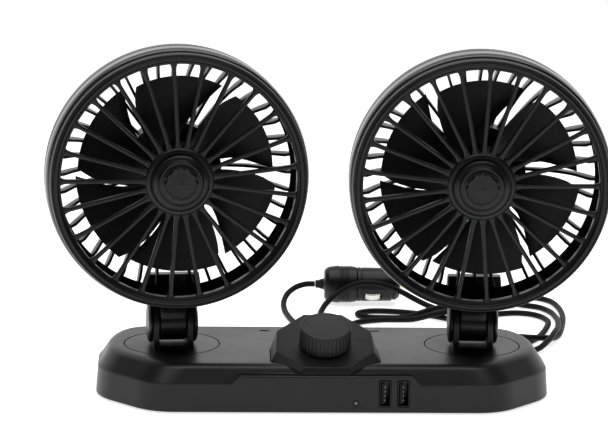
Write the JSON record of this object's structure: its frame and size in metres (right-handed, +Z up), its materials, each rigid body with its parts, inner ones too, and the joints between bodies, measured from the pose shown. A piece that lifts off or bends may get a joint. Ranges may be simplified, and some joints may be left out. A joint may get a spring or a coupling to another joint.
{
  "type": "dual-head dashboard fan",
  "caption": "Two round caged fans on tilting, swivelling yokes over one long base with a speed knob, charging ports and a lighter-plug lead.",
  "frame": {"origin": "centre of the underside of the anti-slip pad, on the surface the fan stands on", "axes": "+X to the right seen from the front, -Y out of the front, where the fans blow, +Z up"},
  "size_m": [0.2958, 0.2567, 0.1835],
  "materials": {
    "black_plastic": "satin black moulded plastic with a fine spark texture",
    "dark_plastic": "plain black moulded plastic",
    "rubber": "matte black soft rubber or PVC",
    "steel": "bright plated steel",
    "brass": "nickel-washed brass",
    "board_green": "coated circuit board",
    "light_lens": "clear indicator lens, unlit"
  },
  "bodies": {
    "base": {"base_cover": "black_plastic", "base_plate": "black_plastic", "anti_slip_pad": "rubber", "control_pod": "black_plastic", "speed_pot": "steel", "circuit_board": "board_green", "usb_shell_left": "steel", "usb_shell_right": "steel", "usb_tongue_left": "dark_plastic", "usb_tongue_right": "dark_plastic", "status_led": "light_lens", "cable_gland": "rubber", "base_screw_1": "steel", "base_screw_2": "steel", "base_screw_3": "steel", "base_screw_4": "steel", "power_cord": "rubber", "plug_boot": "rubber", "plug_handle": "black_plastic", "plug_barrel": "black_plastic", "plug_nose_ring": "black_plastic"},
    "knob": {"speed_knob": "black_plastic", "pot_shaft": "steel"},
    "left_swivel": {"left_swivel_yoke": "black_plastic", "left_swivel_retainer": "dark_plastic", "left_pivot_cap_outer": "black_plastic", "left_pivot_cap_inner": "black_plastic", "left_tilt_pin": "steel"},
    "left_head": {"left_rear_housing": "black_plastic", "left_drum": "black_plastic", "left_front_grille": "black_plastic", "left_hub_cap": "black_plastic", "left_motor_cover": "black_plastic", "left_motor": "steel"},
    "left_fan": {"left_impeller": "dark_plastic", "left_motor_shaft": "steel"},
    "right_swivel": {"right_swivel_yoke": "black_plastic", "right_swivel_retainer": "dark_plastic", "right_pivot_cap_outer": "black_plastic", "right_pivot_cap_inner": "black_plastic", "right_tilt_pin": "steel"},
    "right_head": {"right_rear_housing": "black_plastic", "right_drum": "black_plastic", "right_front_grille": "black_plastic", "right_hub_cap": "black_plastic", "right_motor_cover": "black_plastic", "right_motor": "steel"},
    "right_fan": {"right_impeller": "dark_plastic", "right_motor_shaft": "steel"},
    "plug_pin": {"plug_centre_pin": "brass"},
    "plug_contact_front": {"plug_contact_front": "steel"},
    "plug_contact_rear": {"plug_contact_rear": "steel"}
  },
  "joints": [
    {"name": "left_swivel_turn", "type": "hinge", "parent": "base", "child": "left_swivel", "pos_m": [-0.0788, 0.005, 0.024], "axis": [0, 0, 1], "range_deg": [-165, 165]},
    {"name": "left_tilt", "type": "hinge", "parent": "left_swivel", "child": "left_head", "pos_m": [-0.0788, 0.005, 0.0355], "axis": [0.9945, 0.1045, 0], "range_deg": [-80, 22]},
    {"name": "left_fan_spin", "type": "hinge", "parent": "left_head", "child": "left_fan", "pos_m": [-0.0788, 0.005, 0.1165], "axis": [0.1045, -0.9945, 0], "continuous": true},
    {"name": "right_swivel_turn", "type": "hinge", "parent": "base", "child": "right_swivel", "pos_m": [0.0788, 0.005, 0.024], "axis": [0, 0, 1], "range_deg": [-165, 165]},
    {"name": "right_tilt", "type": "hinge", "parent": "right_swivel", "child": "right_head", "pos_m": [0.0788, 0.005, 0.0355], "axis": [0.999, -0.0436, 0], "range_deg": [-80, 22]},
    {"name": "right_fan_spin", "type": "hinge", "parent": "right_head", "child": "right_fan", "pos_m": [0.07871, 0.00288, 0.11647], "axis": [-0.0436, -0.9987, -0.0262], "continuous": true},
    {"name": "speed_knob_turn", "type": "hinge", "parent": "base", "child": "knob", "pos_m": [0, -0.02162, 0.02997], "axis": [0, -0.3256, 0.9455], "range_deg": [-270, 0]},
    {"name": "plug_pin_slide", "type": "slide", "parent": "base", "child": "plug_pin", "axis": [-1, 0, 0], "range_m": [0, 0.0025], "stiffness_N_per_m": 1000, "springref_m": -0.002},
    {"name": "plug_contact_front_slide", "type": "slide", "parent": "base", "child": "plug_contact_front", "axis": [0, 0.8192, 0.5736], "range_m": [0, 0.0012], "stiffness_N_per_m": 1500, "springref_m": -0.0008},
    {"name": "plug_contact_rear_slide", "type": "slide", "parent": "base", "child": "plug_contact_rear", "axis": [0, -0.8192, -0.5736], "range_m": [0, 0.0012], "stiffness_N_per_m": 1500, "springref_m": -0.0008}
  ]
}
